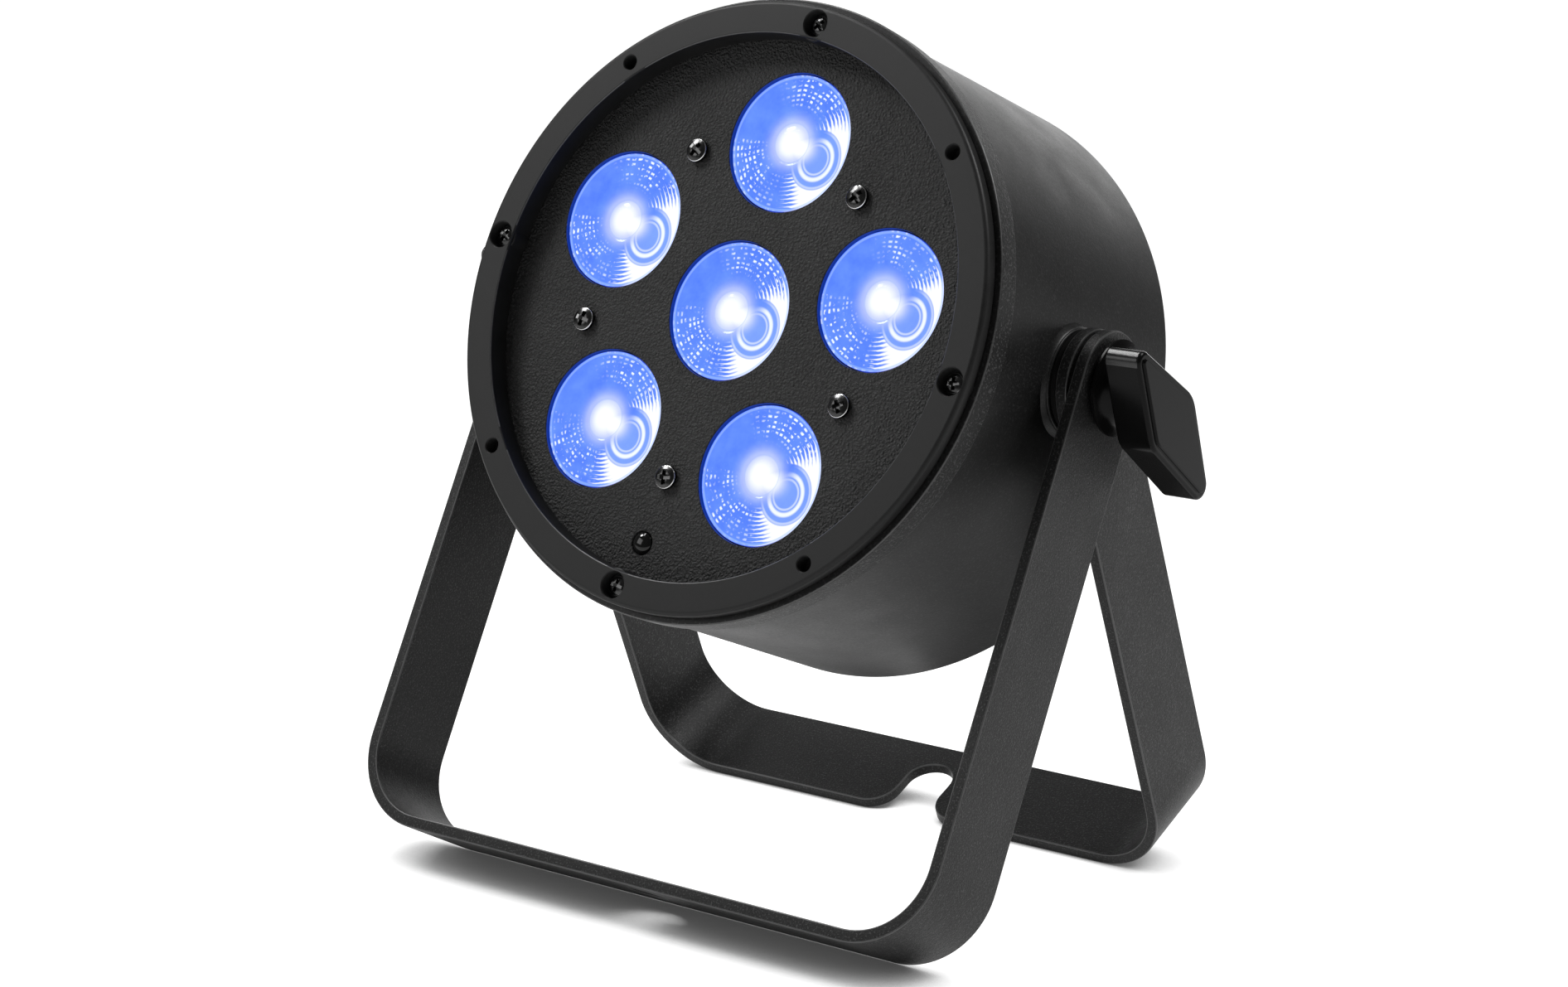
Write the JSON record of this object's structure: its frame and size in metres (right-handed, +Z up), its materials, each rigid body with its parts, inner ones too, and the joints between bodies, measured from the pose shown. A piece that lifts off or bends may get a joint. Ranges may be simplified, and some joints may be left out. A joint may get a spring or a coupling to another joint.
{
  "type": "LED par can stage light",
  "caption": "Round black LED stage light with a recessed lens panel, tilting between two floor-standing U brackets with lever knobs.",
  "frame": {"origin": "on the floor, in the middle of the whole light's box", "axes": "+Z up, the light shines towards -Y and upwards, +X to the right seen from the front, along the clamp axis"},
  "size_m": [0.2724, 0.1932, 0.2887],
  "materials": {
    "black_paint": "fine textured black paint over die-cast aluminium",
    "strap_paint": "fine sanded black powder coat",
    "panel_paint": "wrinkle-textured matt black paint over die-cast aluminium",
    "black_plastic": "moulded satin black plastic",
    "rubber": "matt black rubber",
    "black_steel": "black-zinc steel with bright worn edges",
    "steel": "zinc-plated steel",
    "aluminium": "bare extruded aluminium",
    "blue_lens": "clear acrylic lens lit blue from behind",
    "emitter": "clear silicone dome over the emitter",
    "board_white": "white solder mask",
    "board_green": "green solder mask",
    "smoked_plastic": "smoked glossy plastic",
    "blue_socket": "moulded blue plastic",
    "grey_socket": "moulded grey plastic"
  },
  "bodies": {
    "front_bracket": {"front_bracket": "strap_paint"},
    "rear_bracket": {"rear_bracket": "strap_paint", "right_spacer_washer": "black_plastic", "left_spacer_washer": "black_plastic"},
    "head": {"housing": "black_paint", "front_bezel": "black_paint", "bezel_gasket": "rubber", "front_panel": "panel_paint", "ir_sensor": "smoked_plastic", "bezel_screw_1": "black_steel", "bezel_screw_2": "black_steel", "bezel_screw_3": "black_steel", "bezel_screw_4": "black_steel", "panel_screw_1": "black_steel", "panel_screw_2": "black_steel", "panel_screw_3": "black_steel", "panel_screw_4": "black_steel", "panel_screw_5": "black_steel", "lens_1": "blue_lens", "lens_2": "blue_lens", "lens_3": "blue_lens", "lens_4": "blue_lens", "lens_5": "blue_lens", "lens_6": "blue_lens", "led_1": "emitter", "led_2": "emitter", "led_3": "emitter", "led_4": "emitter", "led_5": "emitter", "led_6": "emitter", "lens_carrier": "black_plastic", "led_board": "board_white", "heat_sink": "aluminium", "power_supply": "aluminium", "control_board": "board_green", "rear_cover": "black_paint", "cover_screw_1": "black_steel", "cover_screw_2": "black_steel", "cover_screw_3": "black_steel", "cover_screw_4": "black_steel", "display_window": "smoked_plastic", "dmx_in": "black_plastic", "dmx_out": "black_plastic", "power_inlet": "blue_socket", "power_outlet": "grey_socket", "fuse_cap": "black_plastic", "safety_eyelet": "steel", "right_friction_pad": "rubber", "left_friction_pad": "rubber"},
    "right_knob": {"right_knob": "black_plastic", "right_clamp_stud": "steel", "right_clamp_washer": "black_steel"},
    "left_knob": {"left_knob": "black_plastic", "left_clamp_stud": "steel", "left_clamp_washer": "black_steel"},
    "menu_button": {"menu_button": "black_plastic"},
    "down_button": {"down_button": "black_plastic"},
    "up_button": {"up_button": "black_plastic"},
    "enter_button": {"enter_button": "black_plastic"},
    "dmx_out_latch": {"dmx_out_latch": "steel"}
  },
  "joints": [
    {"name": "head_tilt", "type": "hinge", "parent": "front_bracket", "child": "head", "pos_m": [0, 0.00199, 0.1759], "axis": [-1, 0, 0], "range_deg": [-110, 70]},
    {"name": "rear_bracket_swing", "type": "hinge", "parent": "front_bracket", "child": "rear_bracket", "pos_m": [0, 0.00199, 0.1759], "axis": [1, 0, 0], "range_deg": [-38, 128]},
    {"name": "right_knob_turn", "type": "hinge", "parent": "head", "child": "right_knob", "pos_m": [0.13, 0.00199, 0.1759], "axis": [1, 0, 0], "range_deg": [0, 180]},
    {"name": "left_knob_turn", "type": "hinge", "parent": "head", "child": "left_knob", "pos_m": [-0.13, 0.00199, 0.1759], "axis": [-1, 0, 0], "range_deg": [0, 180]},
    {"name": "menu_button_press", "type": "slide", "parent": "head", "child": "menu_button", "axis": [0, -0.9415, 0.3371], "range_m": [0, 0.001], "stiffness_N_per_m": 400, "springref_m": -0.001},
    {"name": "down_button_press", "type": "slide", "parent": "head", "child": "down_button", "axis": [0, -0.9415, 0.3371], "range_m": [0, 0.001], "stiffness_N_per_m": 400, "springref_m": -0.001},
    {"name": "up_button_press", "type": "slide", "parent": "head", "child": "up_button", "axis": [0, -0.9415, 0.3371], "range_m": [0, 0.001], "stiffness_N_per_m": 400, "springref_m": -0.001},
    {"name": "enter_button_press", "type": "slide", "parent": "head", "child": "enter_button", "axis": [0, -0.9415, 0.3371], "range_m": [0, 0.001], "stiffness_N_per_m": 400, "springref_m": -0.001},
    {"name": "dmx_out_latch_press", "type": "slide", "parent": "head", "child": "dmx_out_latch", "axis": [0, -0.9415, 0.3371], "range_m": [0, 0.0015], "stiffness_N_per_m": 800, "springref_m": -0.001}
  ]
}
